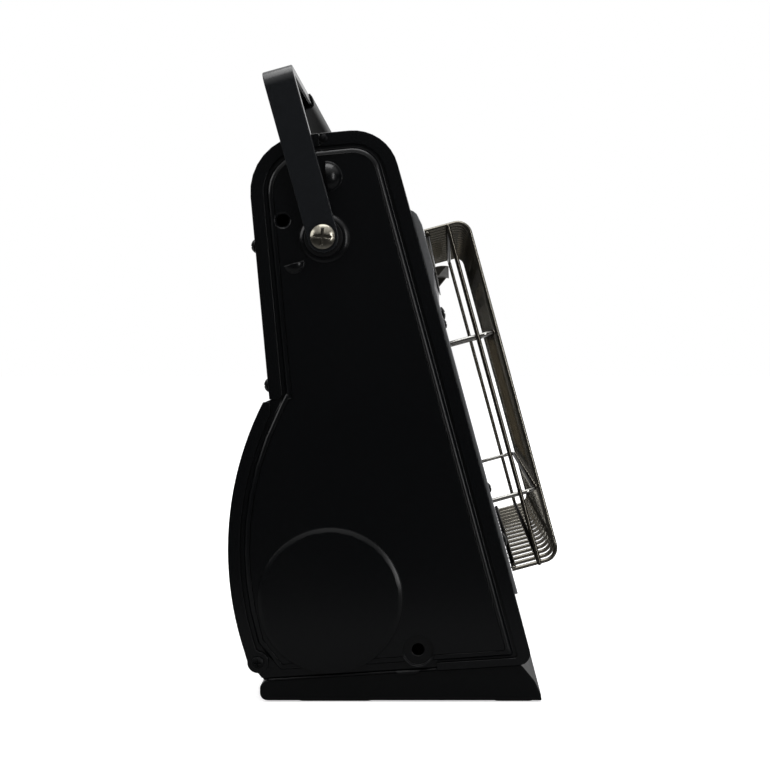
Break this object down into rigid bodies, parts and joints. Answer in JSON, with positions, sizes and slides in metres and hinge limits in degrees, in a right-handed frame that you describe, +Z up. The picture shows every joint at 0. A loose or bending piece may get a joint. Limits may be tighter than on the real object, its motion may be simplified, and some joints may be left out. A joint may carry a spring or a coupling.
{
  "type": "parabolic gas heater",
  "caption": "Leaning portable radiant heater with a wire guard over a parabolic reflector, a swing-up carrying handle and a hinged cartridge door at its lower back.",
  "frame": {"origin": "centre of the base tray on the floor", "axes": "+Z up, front with the guard towards -Y, handle pivots and cartridge axis along X"},
  "size_m": [0.2912, 0.1752, 0.3367],
  "materials": {
    "body_sheet": "satin",
    "trim_sheet": "satin",
    "rubber": "matte",
    "bright_steel": "satin",
    "polished_steel": "polished",
    "guard_wire": "satin",
    "reflector_alloy": "polished",
    "zinc_steel": "satin",
    "ceramic": "matte",
    "fibre": "matte",
    "brass": "satin",
    "cast_alloy": "satin",
    "black_plastic": "satin"
  },
  "bodies": {
    "body": {"front_shell": "body_sheet", "rear_shell": "body_sheet", "side_panel_left": "body_sheet", "side_panel_right": "body_sheet", "floor_pan": "body_sheet", "base_tray": "trim_sheet", "rubber_feet": "rubber", "base_screws": "zinc_steel", "front_bezel": "trim_sheet", "reflector_hood": "bright_steel", "reflector": "reflector_alloy", "burner_frame": "bright_steel", "ceramic_plaque": "ceramic", "plaque_gasket": "fibre", "burner_plenum": "zinc_steel", "mixer_tube": "zinc_steel", "gas_injector": "brass", "injector_bracket": "brass", "gas_tube": "brass", "valve_block": "cast_alloy", "regulator": "cast_alloy", "regulator_bracket": "zinc_steel", "cartridge_cradle": "zinc_steel", "heat_shield": "zinc_steel", "door_catch": "bright_steel", "ignition_electrode": "bright_steel", "electrode_insulator": "ceramic", "thermocouple": "brass", "piezo_igniter": "black_plastic", "tilt_switch": "black_plastic", "guard_wires": "guard_wire", "guard_loop": "guard_wire", "guard_rungs": "polished_steel", "bezel_screws": "zinc_steel", "back_screws": "zinc_steel", "seam_rivets": "zinc_steel", "handle_screws": "polished_steel", "handle_spacers": "black_plastic", "handle_nuts": "zinc_steel", "door_hinge_screws": "zinc_steel"},
    "handle": {"handle_strap": "trim_sheet", "handle_grip": "black_plastic"},
    "door": {"cartridge_door": "body_sheet"},
    "knob": {"control_knob": "black_plastic", "control_shaft": "bright_steel"},
    "lever": {"cartridge_lever": "black_plastic"}
  },
  "joints": [
    {"name": "handle_swing", "type": "hinge", "parent": "body", "child": "handle", "pos_m": [0, 0.03987, 0.24382], "axis": [-1, 0, 0], "range_deg": [0, 90]},
    {"name": "door_hinge", "type": "hinge", "parent": "body", "child": "door", "pos_m": [0, 0.07495, 0.02113], "axis": [-1, 0, 0], "range_deg": [0, 90]},
    {"name": "knob_turn", "type": "hinge", "parent": "body", "child": "knob", "pos_m": [0.14, 0.03692, 0.05388], "axis": [1, 0, 0], "range_deg": [0, 180]},
    {"name": "lever_turn", "type": "hinge", "parent": "body", "child": "lever", "pos_m": [0.11, 0.03692, 0.05388], "axis": [1, 0, 0], "range_deg": [0, 34]}
  ]
}
